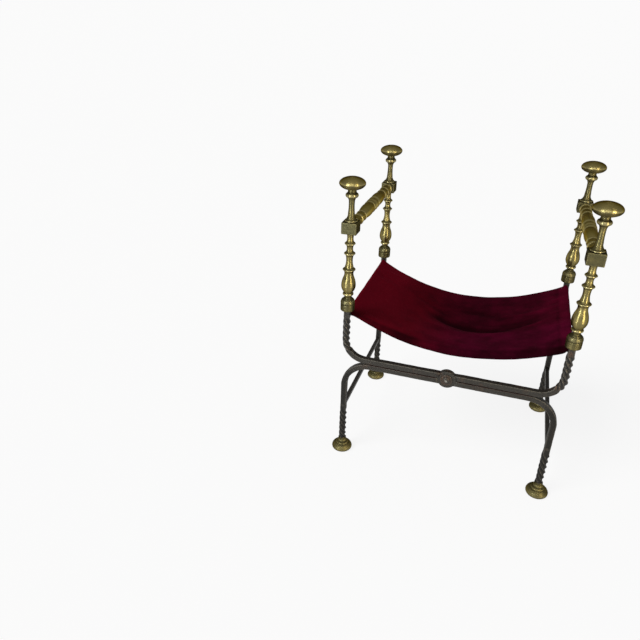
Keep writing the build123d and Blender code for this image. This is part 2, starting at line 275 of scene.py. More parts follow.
def velvet_material():
    """Burgundy pile, brushed light and dark and with painted light and shade, with a crimson and a
    purple cast.
    """
    s = Shading("velvet")
    brushed = s.noise(16, 4, 0.6)
    pile = s.noise(1500, 2)
    # the seat's painted light and shade, with a little brushing added
    nap_and_painted_light = s.math("MULTIPLY_ADD", s.math("SUBTRACT", brushed, 0.5), 0.9, s.attribute("nap_and_painted_light"))
    light = s.mix(s.attribute("cast"), VELVET_CRIMSON, VELVET_PURPLE)
    base = s.mix(s.between(nap_and_painted_light, -0.1, 1.0), VELVET_DEEP, light)
    base = s.mix(s.scaled(pile, 0.0, 0.4), base, VELVET_DEEP)
    s.set(Base_Color=base, Roughness=0.9, Specular_IOR_Level=0.012)
    s.set(Sheen_Weight=0.10, Sheen_Roughness=0.35, Sheen_Tint=(0.55, 0.05, 0.12, 1))
    creases = s.bump(s.noise(60, 4), 0.25, 0.003)
    hairs = s.bump(pile, 0.3, 0.0005)
    s.put(hairs.inputs["Normal"], creases.outputs[0])
    s.set(Normal=hairs.outputs[0])
    return s.material


def lining_material():
    """Dark red cotton twill."""
    s = Shading("lining")
    weave = s.noise(700, 3, 0.6, (1, 3, 1))
    base = s.mix(weave, (0.022, 0.002, 0.004, 1), (0.060, 0.006, 0.010, 1))
    s.set(Base_Color=base, Roughness=0.9, Specular_IOR_Level=0.05)
    s.set(Normal=s.bump(weave, 0.4, 0.0005).outputs[0])
    return s.material


velvet = velvet_material()
lining = lining_material()

# ---- meshes


def piece(name, points, faces, materials, values=()):
    """A mesh object from points in millimetres, smooth-shaded, with named values on its points."""
    mesh = bpy.data.meshes.new(name)
    mesh.from_pydata((np.asarray(points) * MM).tolist(), [], faces)
    mesh.polygons.foreach_set("use_smooth", [True] * len(mesh.polygons))
    for key, numbers in dict(values).items():
        layer = mesh.attributes.new(key, "FLOAT", "POINT")
        layer.data.foreach_set("value", np.asarray(numbers, dtype=np.float32))
    for material in materials:
        mesh.materials.append(material)
    mesh.update()
    made = bpy.data.objects.new(name, mesh)
    bpy.context.scene.collection.objects.link(made)
    return made


def stands_for(made, node, body):
    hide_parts(node)
    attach(made, body)


def tube_faces(rings, around):
    """Quads between rings of points, and a fan of points closed at each end."""
    faces = []
    for ring in range(rings - 1):
        for i in range(around):
            j = (i + 1) % around
            a, b = ring * around, (ring + 1) * around
            faces.append((a + i, a + j, b + j, b + i))
    faces.append(tuple(reversed(range(around))))
    faces.append(tuple(range((rings - 1) * around, rings * around)))
    return faces


def smooth_step(t):
    t = np.clip(t, 0, 1)
    return t * t * (3 - 2 * t)


# ---- turned pieces

SPACING = 0.8  # between the rings of a turned mesh
RELIEF_H = 0.8  # a relief of 1 stands out this far
HAND_UNEVEN = 0.12  # how far hand work is off the round


def outline(start, steps, height):
    """Points of a turned outline, from steps of (rise, radius reached, radius half way or None)."""
    open_rise = height - sum(rise for rise, _, _ in steps if rise is not None)
    radius, level = start
    points = [(radius, level)]
    for rise, reached, midway in steps:
        rise = open_rise if rise is None else rise
        straight = midway is None
        bulge = 0 if straight else midway - (radius + reached) / 2
        count = 2 if straight else 10
        for i in range(1, count + 1):
            t = i / count
            points.append((radius + (reached - radius) * t + 4 * bulge * t * (1 - t), level + rise * t))
        radius, level = points[-1]
    return np.array(points)


def softened(points, passes=2):
    """The outline with even spacing and its corners slightly rounded, as wear and polish leave."""
    runs = np.linalg.norm(np.diff(points, axis=0), axis=1)
    far = np.concatenate([[0], np.cumsum(runs)])
    even = np.linspace(0, far[-1], max(3, int(far[-1] / SPACING)))
    out = np.stack([np.interp(even, far, points[:, i]) for i in (0, 1)], axis=1)
    for _ in range(passes):
        out[1:-1] = (out[:-2] + 2 * out[1:-1] + out[2:]) / 4
    return out


def facing_out(points):
    """Unit normals of an outline, away from the axis."""
    ahead = np.gradient(points, axis=0)
    ahead /= np.linalg.norm(ahead, axis=1, keepdims=True)
    return np.stack([ahead[:, 1], -ahead[:, 0]], axis=1)


def relief_of(points, width=3.2):
    """How far the outline stands out of its surroundings, from about -1 in grooves to 1 on rings."""
    reach = int(3 * width / SPACING)
    kernel = np.exp(-0.5 * (np.arange(-reach, reach + 1) * SPACING / width) ** 2)
    before = 2 * points[0] - points[reach:0:-1]
    after = 2 * points[-1] - points[-2:-reach - 2:-1]
    padded = np.concatenate([before, points, after])
    smooth = np.stack([np.convolve(padded[:, i], kernel / kernel.sum(), "valid") for i in (0, 1)], axis=1)
    return np.clip(((points - smooth) * facing_out(points)).sum(axis=1) / RELIEF_H, -1.3, 1.3)


def turned(name, points, origin, axis, material, around=48, seed=0.0):
    """A solid of revolution about Z or Y through origin, very slightly uneven as hand work is."""
    points = softened(points)
    relief = relief_of(points)
    # how far each ring faces down, for the painted shade underneath in the brass
    under = smooth_step((0.22 - facing_out(points)[:, 1]) / 0.4) * (axis == "Z")
    angles = np.arange(around) / around * tau
    places = []
    for radius, level in points:
        for angle in angles:
            place = Vector((cos(angle), sin(angle), level * 0.05 + seed))
            uneven = noise.noise(place) * HAND_UNEVEN
            r = max(radius + uneven * min(1.0, radius / 6), 0.0)
            if axis == "Z":
                places.append((r * cos(angle), r * sin(angle), level))
            else:
                places.append((r * cos(angle), level, -r * sin(angle)))
    values = {"relief": relief, "under": under, "along": points[:, 1]}
    values = {key: np.repeat(numbers, around) for key, numbers in values.items()}
    faces = tube_faces(len(points), around)
    return piece(name, np.array(places) + np.array(origin), faces, [material], values)


SOCKET_FOOT_R = 17.4
SOCKET_R = 18.4
SOCKET_DOME_R = 15.8
NECK_R = 8.8
WAIST_R = 8.0
VASE_R = 18.4
VASE_NECK_R = 11.4
VASE_COLLAR_R = 16.0
RING_R = 13.3
COLUMN_FOOT_R = 15.2
COLUMN_R = 7.2
COLUMN_COLLAR_R = 15.2
COLUMN_NECK_R = 10.4
KNOB_R = 31.5
KNOB_H = 31.0
FOOT_SOLE_R = 24.5
FOOT_R = 28.5
FOOT_STEP_R = 18.0
FOOT_RING_R = 13.0
FOOT_TOP_R = 10.9

socket_steps = [
    (1.6, SOCKET_R - 0.2, None),
    (15.0, SOCKET_R, SOCKET_R - 0.2),
    (1.2, SOCKET_R - 1.7, None),  # groove round the sleeve
    (1.2, SOCKET_R - 0.2, None),
    (None, SOCKET_DOME_R, SOCKET_R - 0.2),
    (0.8, SOCKET_DOME_R - 2.4, None),  # groove over the dome
    (3.6, NECK_R + 1.6, SOCKET_DOME_R - 2.8),
    (2.6, NECK_R, None),
]
baluster_steps = [
    (4.0, RING_R - 2.4, NECK_R + 0.2),
    (8.0, RING_R - 1.2, RING_R + 0.7),  # small ring under the vase
    (1.0, RING_R - 2.2, None),
    (19.5, VASE_R, VASE_R - 1.7),
    (None, VASE_NECK_R + 2.1, VASE_R - 1.3),
    (11.5, VASE_NECK_R, VASE_NECK_R + 0.4),
    (8.0, VASE_COLLAR_R - 0.4, VASE_NECK_R + 1.0),
    (2.6, VASE_COLLAR_R - 0.8, VASE_COLLAR_R + 0.5),
    (6.0, WAIST_R + 2.7, VASE_COLLAR_R - 4.2),
    (27.4, WAIST_R + 1.2, WAIST_R + 0.2),
    (5.5, RING_R - 0.2, WAIST_R + 2.2),
    (3.4, RING_R - 0.2, RING_R + 1.1),  # middle ring
    (5.0, WAIST_R + 0.6, WAIST_R + 2.2),
    (12.0, WAIST_R + 0.4, WAIST_R - 0.3),
    (5.0, RING_R - 1.2, WAIST_R + 1.4),
    (4.0, RING_R - 1.2, RING_R + 0.4),  # upper ring
    (5.0, WAIST_R + 0.6, WAIST_R + 1.6),
    (12.1, WAIST_R + 0.2, WAIST_R - 0.2),
    (8.0, WAIST_R + 3.0, WAIST_R + 0.8),
]
column_steps = [
    (3.4, COLUMN_FOOT_R, COLUMN_FOOT_R + 1.0),
    (0.8, COLUMN_FOOT_R - 1.7, None),
    (14.0, COLUMN_R + 1.1, COLUMN_R + 2.1),
    (None, COLUMN_R + 0.1, COLUMN_R),
    (6.0, COLUMN_R + 1.5, COLUMN_R + 0.3),
    (5.0, COLUMN_COLLAR_R - 1.6, COLUMN_R + 2.6),
    (9.0, COLUMN_COLLAR_R - 1.6, COLUMN_COLLAR_R + 0.4),
    (3.3, COLUMN_NECK_R + 0.2, COLUMN_NECK_R + 0.8),
    (5.5, COLUMN_NECK_R, COLUMN_NECK_R - 0.3),
]
foot_steps = [
    (6.0, FOOT_R, FOOT_R - 0.9),
    (5.0, FOOT_R - 0.8, FOOT_R + 0.1),
    (8.0, FOOT_STEP_R + 2.5, FOOT_R - 3.2),  # dome
    (1.2, FOOT_STEP_R - 0.4, None),
    (4.6, FOOT_STEP_R - 3.0, FOOT_STEP_R - 0.2),  # lower ring
    (1.0, FOOT_RING_R - 0.4, None),
    (5.2, FOOT_TOP_R + 0.8, FOOT_RING_R + 0.2),  # upper ring
    (None, FOOT_TOP_R, FOOT_TOP_R - 0.4),  # collar
]

RAIL_BULB_R = 16.2
RAIL_BEAD_R = 16.2
RAIL_DRUM_R = 12.0
RAIL_RING_R = 14.4
RAIL_NECK_R = 11.0
RAIL_START_R = 13.5
RAIL_BEAD_L = 14.0
RAIL_HALF = (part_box("block_rear_left")[0].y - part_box("block_front_left")[1].y) / (2 * MM)

rail_half_steps = [
    (6.0, RAIL_NECK_R, RAIL_NECK_R + 0.3),
    (8.0, RAIL_NECK_R + 0.5, RAIL_RING_R + 0.6),  # ring
    (27.0, RAIL_DRUM_R - 0.6, RAIL_DRUM_R - 1.0),
    (8.0, RAIL_DRUM_R - 0.2, RAIL_RING_R + 0.4),  # ring
    (24.0, RAIL_DRUM_R - 0.2, RAIL_DRUM_R),
    (7.0, RAIL_DRUM_R - 0.1, RAIL_RING_R + 0.2),  # ring
    (10.0, RAIL_DRUM_R + 0.6, RAIL_DRUM_R - 0.5),
    (None, RAIL_BEAD_R - 1.6, RAIL_BULB_R + 0.1),  # bulb
    (2.0, RAIL_BEAD_R - 3.0, None),
    (9.0, RAIL_BEAD_R - 1.8, RAIL_BEAD_R + 0.4),  # bead
    (12.0, RAIL_BEAD_R - 1.8, RAIL_BEAD_R - 2.8),
]


def knob_outline():
    """A flattened ball from the column's neck to its middle on top."""
    seat = -np.arccos(COLUMN_NECK_R / KNOB_R)
    angles = np.linspace(seat, pi / 2 - 0.02, 60)
    lift = -KNOB_H / 2 * sin(seat)
    return np.stack([KNOB_R * np.cos(angles), KNOB_H / 2 * np.sin(angles) + lift], axis=1)


def rail_outline():
    half = outline((RAIL_START_R, 0), rail_half_steps, RAIL_HALF - RAIL_BEAD_L / 2)
    bead = outline(tuple(half[-1]), [(RAIL_BEAD_L, half[-1][0], RAIL_BEAD_R + 0.6)], RAIL_BEAD_L)
    far_half = np.stack([half[::-1, 0], 2 * RAIL_HALF - half[::-1, 1]], axis=1)
    return np.concatenate([half, bead[1:], far_half[1:]]) - np.array([0, RAIL_HALF])


socket_outline = outline((SOCKET_FOOT_R, 0), socket_steps, BALUSTER_Z - SOCKET_Z)
baluster_outline = outline((NECK_R, 0), baluster_steps, BLOCK_Z - BALUSTER_Z)
column_outline = outline((COLUMN_FOOT_R, 0), column_steps, KNOB_Z - COLUMN_Z)
foot_outline = outline((FOOT_SOLE_R, 0), foot_steps, FOOT_H)

# kind: outline, level of its start, material, points around it
turnings = {
    "socket": (socket_outline, SOCKET_Z, sleeve_brass, 48),
    "baluster": (baluster_outline, BALUSTER_Z, post_brass, 48),
    "column": (column_outline, COLUMN_Z, column_brass, 40),
    "knob": (knob_outline(), KNOB_Z, knob_brass, 64),
    "foot": (foot_outline, 0, foot_brass, 64),
}

for side, side_x in SIDES.items():
    for end, end_y in ENDS.items():
        for kind, (points, level, brass, around) in turnings.items():
            node = f"{kind}_{end}_{side}"
            origin = (side_x * POST_X, end_y * FRAME_Y, level)
            seed = 9 * side_x + end_y + level * 0.05
            shape = turned(f"turned_{node}", points, origin, "Z", brass, around, seed)
            stands_for(shape, node, frame_of(other(side) if kind == "foot" else side))
    rail = turned(f"turned_rail_{side}", rail_outline(), (side_x * POST_X, 0, RAIL_Z), "Y", rail_brass)
    stands_for(rail, f"arm_rail_{side}", frame_of(side))

# ---- blocks

BLOCK_BEVEL = 1.7
DIRT_R = COLUMN_FOOT_R + 1.4  # dirt gathers here, round the column that stands on the block


def worn_block(name, low, high, bevel):
    """A filed block with rounded edges. Its relief is high along the edges and low round the foot
    of the column, where polish and dirt gather."""
    half = (high - low) / 2
    centre = (high + low) / 2
    near_edge = bevel * np.array([0, 0.26, 0.66, 1.2, 2.2])
    ticks = []
    for h in half:
        between = np.linspace(near_edge[-1] - h, h - near_edge[-1], 15)[1:-1]
        ticks.append(np.concatenate([near_edge - h, between, h - near_edge[::-1]]))
    points, faces = [], []
    for axis in range(3):
        u, v = (axis + 1) % 3, (axis + 2) % 3
        for sign in (-1, 1):
            start, count = len(points), len(ticks[v])
            for a in ticks[u]:
                for b in ticks[v]:
                    point = np.zeros(3)
                    point[axis], point[u], point[v] = sign * half[axis], a, b
                    points.append(point)
            for i in range(len(ticks[u]) - 1):
                for j in range(count - 1):
                    corner = start + i * count + j
                    quad = (corner, corner + count, corner + count + 1, corner + 1)
                    faces.append(quad if sign > 0 else quad[::-1])
    points = np.array(points)
    core = np.clip(points, bevel - half, half - bevel)
    out = points - core
    length = np.maximum(np.linalg.norm(out, axis=1, keepdims=True), 1e-6)
    rounded = core + out / length * np.minimum(length, bevel)
    relief = np.where((np.abs(points) > half - 2.2 * bevel).sum(axis=1) >= 2, 0.5, 0.0)
    from_axis = np.hypot(rounded[:, 0], rounded[:, 1])
    on_top = np.abs(rounded[:, 2]) > half[2] - 0.5
    relief -= 1.2 * on_top * np.exp(-(((from_axis - DIRT_R) / 1.6) ** 2))
    dents = np.array([noise.noise(Vector(p) * 0.11) for p in rounded + centre]) * 0.25
    rounded *= 1 + dents[:, None] / np.linalg.norm(rounded, axis=1, keepdims=True)
    return piece(name, rounded + centre, faces, [block_brass], {"relief": relief})


for side in SIDES:
    for end in ENDS:
        low, high = (np.array(corner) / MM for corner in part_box(f"block_{end}_{side}"))
        shape = worn_block(f"filed_block_{end}_{side}", low, high, BLOCK_BEVEL)
        stands_for(shape, f"block_{end}_{side}", frame_of(side))

# ---- iron bars

STOCK = 15.6  # side of the square bar, as photographed; the CAD has 14
STOCK_EDGE = 2.1  # rounding of its edges
HAMMER_SHRINK = 0.1  # hammering takes this off each face on average
BAR_GAP = 0.8  # between the two bars of a frame where they lie on each other
UPPER_BEND = 54.0
LOWER_BEND = 71.0
TWIST_PITCH = 70.0  # length of one turn, left-handed
TWIST_EDGE = 2.3  # rounding of the ridges
TWIST_HOLLOW = 0.7  # twisting hollows the sides between the ridges
TWIST_EASE = 13.0  # length over which a twist sets in
STUB_TWIST_Z = 434.0  # top of the stubs' twist
STUB_TWIST_BEND = 0.8  # it ends this far into the bend, in radians
LEG_TWIST_Z = 141.0  # top of the legs' twist
SOCKET_RECESS_H = 11.0
EYE_R = 24.0
EYE_GAP = 0.3  # between the two eyes of a frame
EYE_OVERLAP = 4  # a bar runs this far into its own eye
EYE_CLEARANCE = 0.4  # and stays this far from the other bar's
LOW_SHADE_Z, LOW_SHADE_FADE = 285, 25  # painted shade: the iron is darker under this height, and fully so this far below
UPPER_Z = PIVOT_Z + (STOCK + BAR_GAP) / 2
LOWER_Z = PIVOT_Z - (STOCK + BAR_GAP) / 2


def section(side, edge, hollow):
    """Points of a square with rounded corners and hollow sides."""
    points = []
    half = side / 2 - edge
    for corner in range(4):
        turn = corner * pi / 2
        arc = [(half + edge * cos(a), half + edge * sin(a)) for a in np.linspace(0, pi / 2, 5)]
        flat = [(half - 2 * half * t, side / 2 - hollow * 4 * t * (1 - t)) for t in (0.25, 0.5, 0.75)]
        points += [(x * cos(turn) - y * sin(turn), x * sin(turn) + y * cos(turn)) for x, y in arc + flat]
    return np.array(points)


plain_section = section(STOCK, STOCK_EDGE, 0)
twisted_section = section(STOCK, TWIST_EDGE, TWIST_HOLLOW)
cornerness = np.linalg.norm(plain_section, axis=1)
cornerness = (cornerness - cornerness.min()) / (cornerness.max() - cornerness.min())


def along_path(runs):
    """Places (x, z), directions and distances along straight runs and bends, given as
    ("line", start, end, step) or ("bend", centre, radius, first angle, last angle, step)."""
    places = []
    for run in runs:
        if run[0] == "line":
            start, end, step = np.array(run[1]), np.array(run[2]), run[3]
            count = max(2, int(np.linalg.norm(end - start) / step))
            stretch = [start + (end - start) * t for t in np.linspace(0, 1, count + 1)]
        else:
            centre, radius, first, last, step = run[1:]
            count = max(2, int(abs(last - first) * radius / step))
            stretch = [(centre[0] + radius * cos(a), centre[1] + radius * sin(a))
                       for a in np.linspace(first, last, count + 1)]
        places += stretch if not places else stretch[1:]
    places = np.array(places)
    ahead = np.gradient(places, axis=0)
    ahead /= np.linalg.norm(ahead, axis=1, keepdims=True)
    far = np.concatenate([[0], np.cumsum(np.linalg.norm(np.diff(places, axis=0), axis=1))])
    return places, ahead, far


def forged(path, y, twisted, seed):
    """Square bar swept along a path in the plane of a frame, twisted between two distances from
    its start and square past them. Gives its points and the relief of each."""
    places, ahead, far = path
    start, end = twisted
    shares = smooth_step((far - start) / TWIST_EASE) * smooth_step((end - far) / TWIST_EASE)
    turning = (shares[1:] + shares[:-1]) / 2 * np.diff(far)
    angles = tau / TWIST_PITCH * np.concatenate([[0], np.cumsum(turning)])
    if start > 0:  # whole quarter turns, so that the bar is square at both ends
        angles *= round(angles[-1] / (pi / 2)) * (pi / 2) / angles[-1]
    points, relief = [], []
    for place, direction, angle, share in zip(places, ahead, angles - angles[-1], shares):
        across = np.array([-direction[1], 0, direction[0]])
        centre = np.array([place[0], y, place[1]])
        shape = plain_section + (twisted_section - plain_section) * share
        shape = shape @ np.array([[cos(angle), sin(angle)], [-sin(angle), cos(angle)]])
        for (a, b), corner in zip(shape, cornerness):
            point = centre + across * a + np.array([0, b, 0])
            out = Vector(point - centre).normalized()
            hammered = noise.noise(Vector(point) * 0.045 + Vector((seed, 0, 0))) * 0.5
            hammered += noise.noise(Vector(point) * 0.14 + Vector((0, seed, 0))) * 0.22
            points.append(point + np.array(out) * (hammered - HAMMER_SHRINK))
            plain, ridged = corner * 1.1 - 0.1, corner * 2.2 - 1.1
            relief.append(plain + (ridged - plain) * share)
    return np.array(points), relief


def end_on_eye(points, y, own_half):
    """Shapes the last ring to the circle of the eyes: into the bar's own eye on its own half of
    the thickness, and clear of the other bar's eye on the other."""
    for point in points[-len(plain_section):]:
        own = (point[1] - y) * own_half > 0
        reach = EYE_R - EYE_OVERLAP if own else EYE_R + EYE_CLEARANCE
        drop = min(abs(point[2] - PIVOT_Z), reach * 0.98)
        point[0] = np.sign(point[0]) * (reach ** 2 - drop ** 2) ** 0.5


def seam_of(points):
    """1 along the line where the two bars of a frame lie on each other, 0 away from it."""
    beside = 1 - smooth_step((np.abs(points[:, 2] - PIVOT_Z) - 1.2) / 1.6)
    x = np.abs(points[:, 0])
    return beside * smooth_step((x - EYE_R - 2) / 4) * smooth_step((POST_X - LOWER_BEND + 14 - x) / 10)


eye_outline = np.array([
    (0.5, EYE_GAP / 2), (EYE_R, EYE_GAP / 2), (EYE_R, STOCK / 2 - 1.2), (EYE_R - 1.2, STOCK / 2),
    (EYE_R - 3.4, STOCK / 2), (EYE_R - 4.2, STOCK / 2 - 0.7), (EYE_R - 5.0, STOCK / 2), (0.5, STOCK / 2),
])


def merged(name, parts, material):
    """One mesh of several, each (points, faces, relief)."""
    points, faces, relief = [], [], []
    for some_points, some_faces, some_relief in parts:
        start = sum(len(p) for p in points)
        points.append(np.asarray(some_points))
        faces += [tuple(i + start for i in face) for face in some_faces]
        relief += list(some_relief)
    points = np.concatenate(points)
    # painted shade: 1 low down, where the iron is darkened
    low = smooth_step((LOW_SHADE_Z - points[:, 2]) / LOW_SHADE_FADE)
    values = {"relief": relief, "seam": seam_of(points), "low": low}
    return piece(name, points, faces, [material], values)


def revolved_y(points, origin, facing, seed, rough, around=56):
    """Points, faces and relief of a solid of revolution about Y, looking toward facing."""
    places = []
    points = softened(points, 1)
    for radius, level in points:
        for i in range(around):
            angle = i / around * tau
            uneven = noise.noise(Vector((cos(angle) * 1.5, sin(angle) * 1.5, radius * 0.1 + seed))) * rough
            r = radius + uneven * min(1, radius / 8)
            places.append((r * cos(angle), facing * level, facing * r * sin(angle)))
    relief = np.repeat(relief_of(points, 1.8), around)
    return np.array(places) + np.array(origin), tube_faces(len(points), around), relief


def cross_bar(side, end):
    """The bar that carries the arm on this side and stands on the foot of the other."""
    side_x, end_y = SIDES[side], ENDS[end]
    own_half = end_y if side == "left" else -end_y
    y = end_y * FRAME_Y
    seed = 3.7 * side_x + 1.3 * end_y + 11
    arm, leg = side_x * POST_X, -side_x * POST_X
    stub_top = SOCKET_Z + SOCKET_RECESS_H
    leg_bottom = FOOT_H - 1
    outward = 0.0 if side_x > 0 else pi
    stub_end = (arm, UPPER_Z + UPPER_BEND)
    upper_middle = (arm - side_x * UPPER_BEND, UPPER_Z + UPPER_BEND)
    upper = along_path([
        ("line", (arm, stub_top), stub_end, 1.5),
        ("bend", upper_middle, UPPER_BEND, outward, outward - side_x * pi / 2, 2.5),
        ("line", (upper_middle[0], UPPER_Z), (side_x * EYE_R, UPPER_Z), 5.0),
    ])
    lower_middle = (leg + side_x * LOWER_BEND, LOWER_Z - LOWER_BEND)
    lower = along_path([
        ("line", (leg, leg_bottom), (leg, LOWER_Z - LOWER_BEND), 1.5),
        ("bend", lower_middle, LOWER_BEND, pi - outward, pi / 2, 2.5),
        ("line", (lower_middle[0], LOWER_Z), (-side_x * EYE_R, LOWER_Z), 5.0),
    ])
    stub_twist = (stub_top - STUB_TWIST_Z, stub_top - stub_end[1] + UPPER_BEND * STUB_TWIST_BEND)
    leg_twist = (-2 * TWIST_EASE, LEG_TWIST_Z - leg_bottom)  # twisted right into the foot
    parts = []
    for path, twisted in ((upper, stub_twist), (lower, leg_twist)):
        points, relief = forged(path, y, twisted, seed)
        end_on_eye(points, y, own_half)
        parts.append((points, tube_faces(len(path[0]), len(plain_section)), relief))
    parts.append(revolved_y(eye_outline, (0, y, PIVOT_Z), own_half, seed, 0.2))
    return merged(f"forged_bar_{side}_{end}", parts, bar_iron)


for side in SIDES:
    for end in ENDS:
        stands_for(cross_bar(side, end), f"cross_bar_{side}_{end}", frame_of(side))

# ---- pivots

WASHER_R = 15.5
WASHER_T = 2.4
HEAD_R = 10.5
HEAD_H = 4.0
PIN_R = 3.4
PIN_H = 1.2
FACE_GAP = 0.3

washer_outline = np.array([
    (0.5, 0), (WASHER_R, 0), (WASHER_R, WASHER_T - 0.9), (WASHER_R - 0.9, WASHER_T),
    (HEAD_R + 2.9, WASHER_T), (HEAD_R + 2.2, WASHER_T - 0.9), (HEAD_R + 1.5, WASHER_T), (0.5, WASHER_T),
])
head_arc = [(PIN_R + (HEAD_R - PIN_R) * cos(a), HEAD_H * sin(a)) for a in np.linspace(0.12, pi / 2, 9)]
head_outline = np.array(
    [(0.5, 0), (HEAD_R, 0)] + head_arc[:5] + [(head_arc[5][0], head_arc[5][1] - 0.7)] + head_arc[6:]
    + [(PIN_R, HEAD_H + PIN_H - 0.4), (PIN_R - 0.5, HEAD_H + PIN_H), (0.5, HEAD_H + PIN_H)]
)

for end, end_y in ENDS.items():
    y = end_y * FRAME_Y
    washers, heads = [], []
    for facing, gap in ((end_y, 0.0), (-end_y, FACE_GAP)):
        face = y + facing * (STOCK / 2 + gap)
        washers.append(revolved_y(washer_outline, (0, face, PIVOT_Z), facing, 5 + facing, 0.35))
        base = (0, face + facing * WASHER_T, PIVOT_Z)
        points, faces, relief = revolved_y(head_outline, base, facing, 8 + facing, 0.3)
        # the pin's end is rubbed bright
        on_pin = (points[:, 1] - face) * facing > WASHER_T + HEAD_H + PIN_H - 0.5
        heads.append((points, faces, relief + 2.6 * on_pin))
    washers = merged(f"forged_washers_{end}", washers, pivot_iron)
    stands_for(washers, f"pivot_washers_{end}", "left_frame")
    rivet = merged(f"headed_rivet_{end}", heads, pivot_iron)
    stands_for(rivet, f"pivot_rivet_{end}", "left_frame")

for side in SIDES:
    for kind in ("side_stretcher", "seat_rod"):
        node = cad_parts[f"{kind}_{side}"]
        node.data.materials.clear()
        node.data.materials.append(bar_iron)

# ---- velvet sling

CLOTH_T = 2.2
CLOTH_FIT = 0.3  # between the cloth and the rod inside it
HEM_R = ROD_R + CLOTH_FIT + CLOTH_T / 2
EDGE_Y = 189.3  # front and rear edges of the seat
HEM_TOP_Z = ROD_Z + HEM_R
FRONT_Z, DIP_Z, REAR_Z = 381.0, 357.0, 365.0  # along the middle of the seat
DIP_BACK = 0.52  # how far back the dip lies
LIP_LEFT, LIP_MIDDLE, LIP_RIGHT = 5.0, 18.0, 13.0
REAR_LIP = 5.0
POCKET_SEAM_X = ROD_X - 22
POCKET_T = 6.5  # down to the cloth that comes back under the seat
POCKET_UNDER_X = (236, 262)

# folds: start (x, y), end (x, y), bend to the left of its run at the middle, width, height
FOLDS = [
    ((-115, 50), (215, 14), -58, 15, -8.0),
    ((-120, 2), (190, -18), -62, 17, 3.5),
    ((-266, 64), (-228, 74), 0, 4, 2.4),
    ((-264, 82), (-214, 104), 4, 5, -2.0),
    ((-262, 120), (-190, 150), 6, 7, 1.6),
    ((-150, 92), (-20, 6), 16, 12, -3.2),
    ((-40, 70), (120, 40), 22, 12, -2.6),
    ((20, 20), (230, 44), -26, 9, -2.4),
    ((60, -6), (240, 6), -20, 6, 2.2),
    ((90, 62), (252, 74), -10, 6, 2.0),
    ((262, 112), (232, 108), 0, 3.5, 2.2),
    ((264, 92), (226, 86), 2, 4, -2.2),
    ((264, 70), (236, 66), 0, 3.5, 2.0),
    ((264, 34), (228, 30), 2, 4, 2.0),
    ((264, -14), (236, -12), 0, 4, -1.8),
    ((264, -52), (230, -46), 0, 4, 1.8),
    ((-264, -150), (-150, -168), -6, 9, 1.6),
    ((-90, -164), (60, -170), 6, 8, -1.6),
    ((110, -160), (250, -172), -6, 9, 1.8),
]


def fold_heights(x, y):
    """How far the folds lift or sink the cloth at each place."""
    total = np.zeros_like(x)
    for (x0, y0), (x1, y1), bend, width, height in FOLDS:
        run = np.array([x1 - x0, y1 - y0], float)
        length = np.linalg.norm(run)
        run /= length
        t = ((x - x0) * run[0] + (y - y0) * run[1]) / length
        aside = -(x - x0) * run[1] + (y - y0) * run[0]
        inside = np.clip(t, 0, 1)
        offset = aside - bend * 4 * inside * (1 - inside)
        ends = np.sin(pi * inside) ** 0.8 * ((t > 0) & (t < 1))
        total += height * ends * np.exp(-((offset / width) ** 2))
    return total


def seat_height(x, y):
    """Height of the sling's upper face, with the stitched lines that close the pockets."""
    back = (y + EDGE_Y) / (2 * EDGE_Y)
    centre = FRONT_Z + (DIP_Z - FRONT_Z) * smooth_step(back / DIP_BACK)
    centre = centre + (REAR_Z - DIP_Z) * smooth_step((back - DIP_BACK) / (1 - DIP_BACK))
    stitched = 0.9 * np.exp(-(((np.abs(x) - POCKET_SEAM_X) / 1.8) ** 2))
    return centre + (HEM_TOP_Z - centre) * (np.abs(x) / ROD_X) ** 2 - stitched


def lip_depth(x):
    """How far the front edge hangs under the seat."""
    out = x / ROD_X
    corner = np.where(out < 0, LIP_LEFT, LIP_RIGHT)
    return LIP_MIDDLE + (corner - LIP_MIDDLE) * out ** 2


# places where the pile is brushed up (lighter) or down: x, y, reach in x, reach in y, lift
BRUSHED = [
    (-85, 20, 40, 45, 0.10),
    (-100, -78, 34, 26, 0.08),
    (0, -52, 38, 13, -0.09),
    (80, -90, 32, 24, 0.07),
    (120, 30, 34, 20, 0.14),
    (160, -60, 32, 22, 0.09),
]


def nap_and_painted_light_at(x, y):
    """How light the pile looks, from 0 to 1: partly by the way it is brushed, and partly painted light
    and shade, by area, on the turned-under lip, and in the folds' troughs and on their crests.
    """
    # painted light and shade by area: lighter on the left, in the middle front and rear and toward the
    # right rod, darker at the rear left and at the front right corner
    nap_and_painted_light = 0.20 + 0.75 * smooth_step(-x / 230)
    nap_and_painted_light -= 0.15 * np.exp(-(((x + 145) / 55) ** 2)) * smooth_step((y - 20) / 60)
    nap_and_painted_light += 0.25 * np.exp(-(((x + 20) / 95) ** 2)) * smooth_step((-60 - y) / 40)
    nap_and_painted_light += 0.12 * np.exp(-(((x + 20) / 60) ** 2)) * smooth_step((y - 50) / 40)
    nap_and_painted_light += 0.10 * smooth_step((x - 90) / 60) * smooth_step((-35 - y) / 30)
    nap_and_painted_light += 0.13 * smooth_step((x - 180) / 40) + 0.12 * smooth_step((x - 246) / 12)
    nap_and_painted_light -= 0.14 * smooth_step((x - 212) / 22) * smooth_step((-125 - y) / 20)
    for at_x, at_y, reach_x, reach_y, lift in BRUSHED:
        nap_and_painted_light += lift * np.exp(-(((x - at_x) / reach_x) ** 2) - (((y - at_y) / reach_y) ** 2))
    # painted shade on the lip turned under the front edge
    lip = smooth_step((26 - y - EDGE_Y) / 22)
    nap_and_painted_light -= lip * (0.14 + 0.34 * smooth_step((-60 - x) / 60) + 0.2 * smooth_step((x - 195) / 50))
    nap_and_painted_light -= 0.12 * np.exp(-(((np.abs(x) - POCKET_SEAM_X) / 2.2) ** 2))
    # painted shade in the troughs of the folds, painted light on their crests
    return nap_and_painted_light + 0.055 * fold_heights(x, y)


